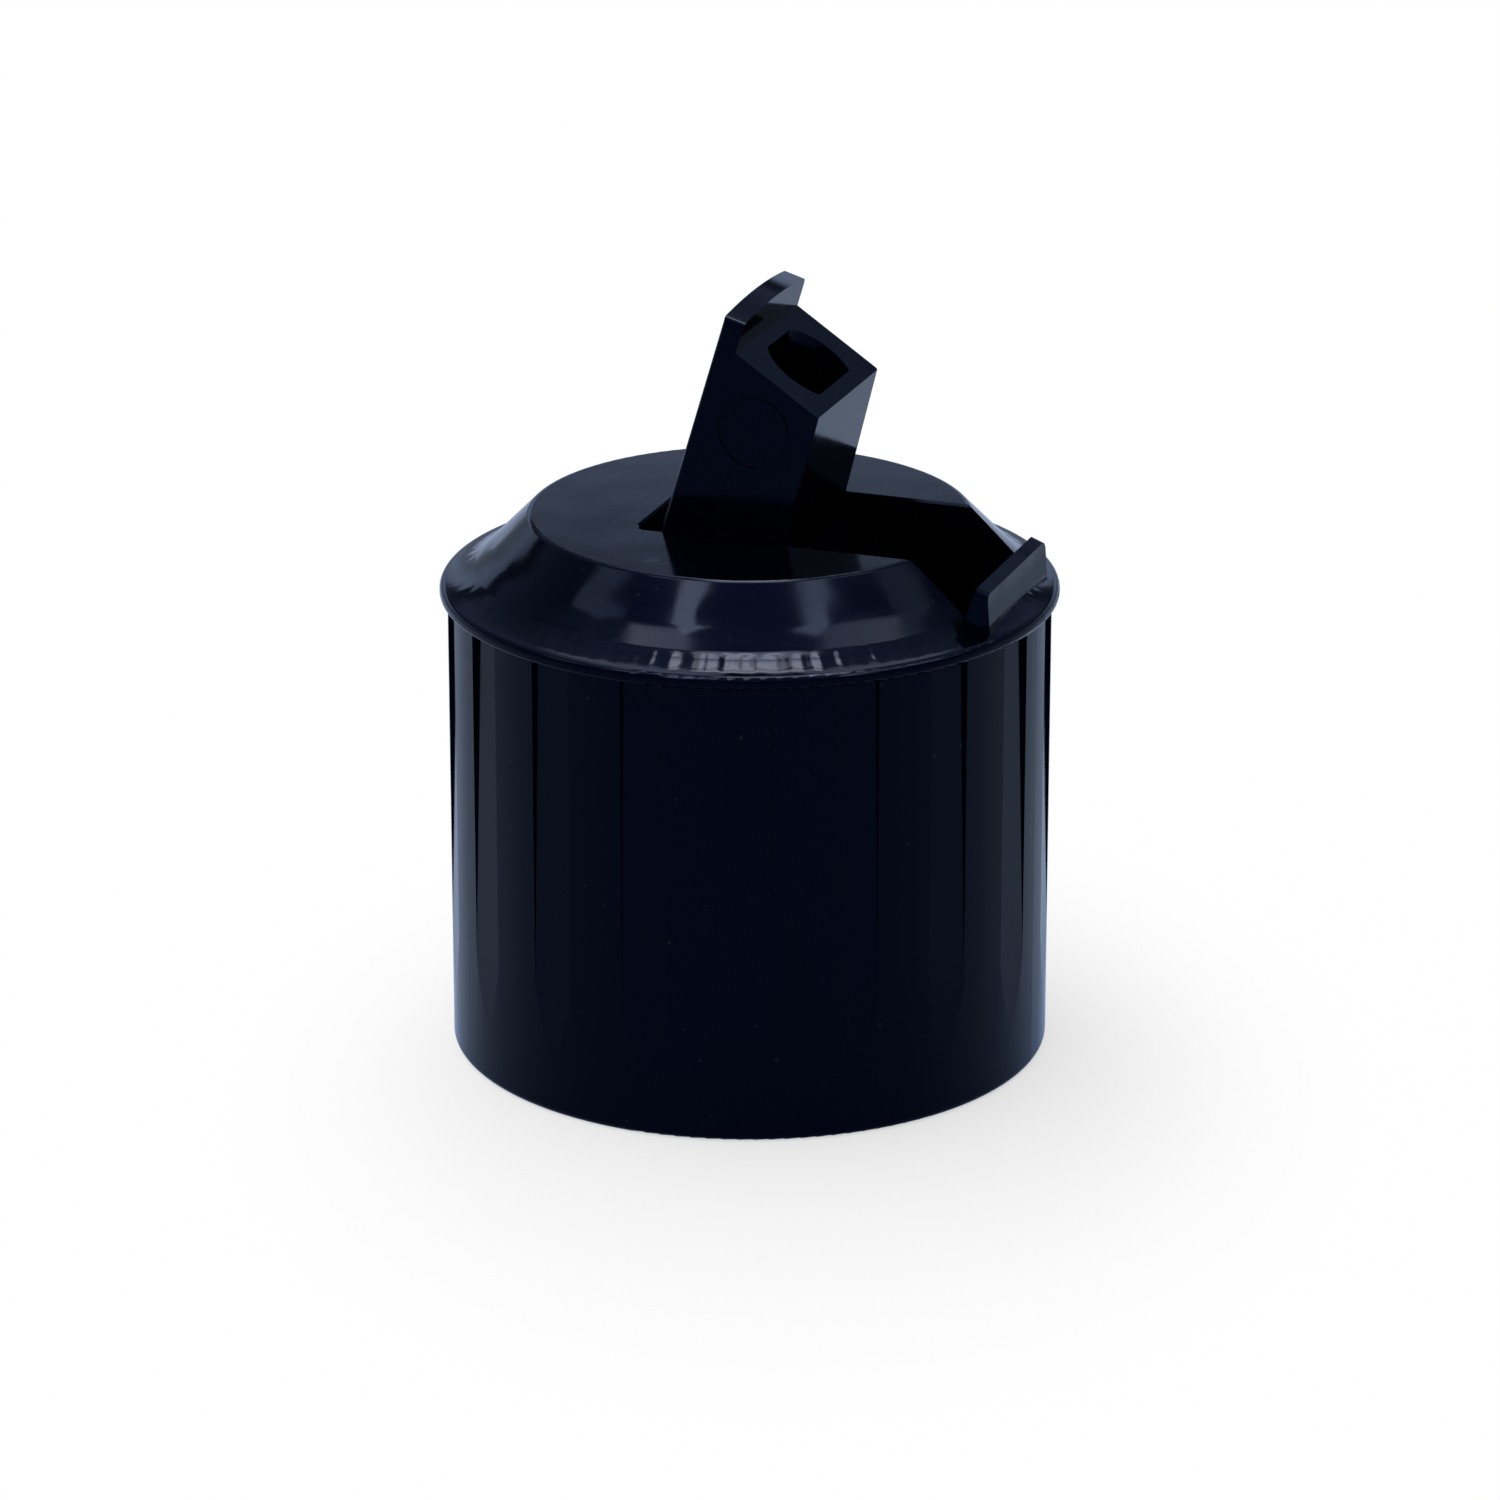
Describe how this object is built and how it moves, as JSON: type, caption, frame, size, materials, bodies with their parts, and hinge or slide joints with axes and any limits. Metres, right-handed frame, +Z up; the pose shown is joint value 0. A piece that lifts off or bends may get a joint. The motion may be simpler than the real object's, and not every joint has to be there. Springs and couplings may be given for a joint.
{
  "type": "turret dispensing cap",
  "caption": "Screw cap for a bottle neck, with a pouring spout that swings up out of a slot across its top and swings down flush to close.",
  "frame": {"origin": "on the cap's axis, at the plane of its open base, which rests on the table or faces the bottle's shoulder", "axes": "+Z up along the cap's axis, +X the way the slot opens and the spout points when it is down, Y along the pivot"},
  "size_m": [0.0318, 0.0318, 0.0403],
  "materials": {
    "body_plastic": "satin moulded polypropylene, near-black navy",
    "spout_plastic": "satin moulded polypropylene, near-black navy"
  },
  "bodies": {
    "cap": {"closure_body": "body_plastic"},
    "spout": {"spout": "spout_plastic"}
  },
  "joints": [
    {"name": "spout_pivot", "type": "hinge", "parent": "cap", "child": "spout", "pos_m": [0, 0, 0.0242], "axis": [0, -1, 0], "range_deg": [-73.4, 16.6]}
  ]
}
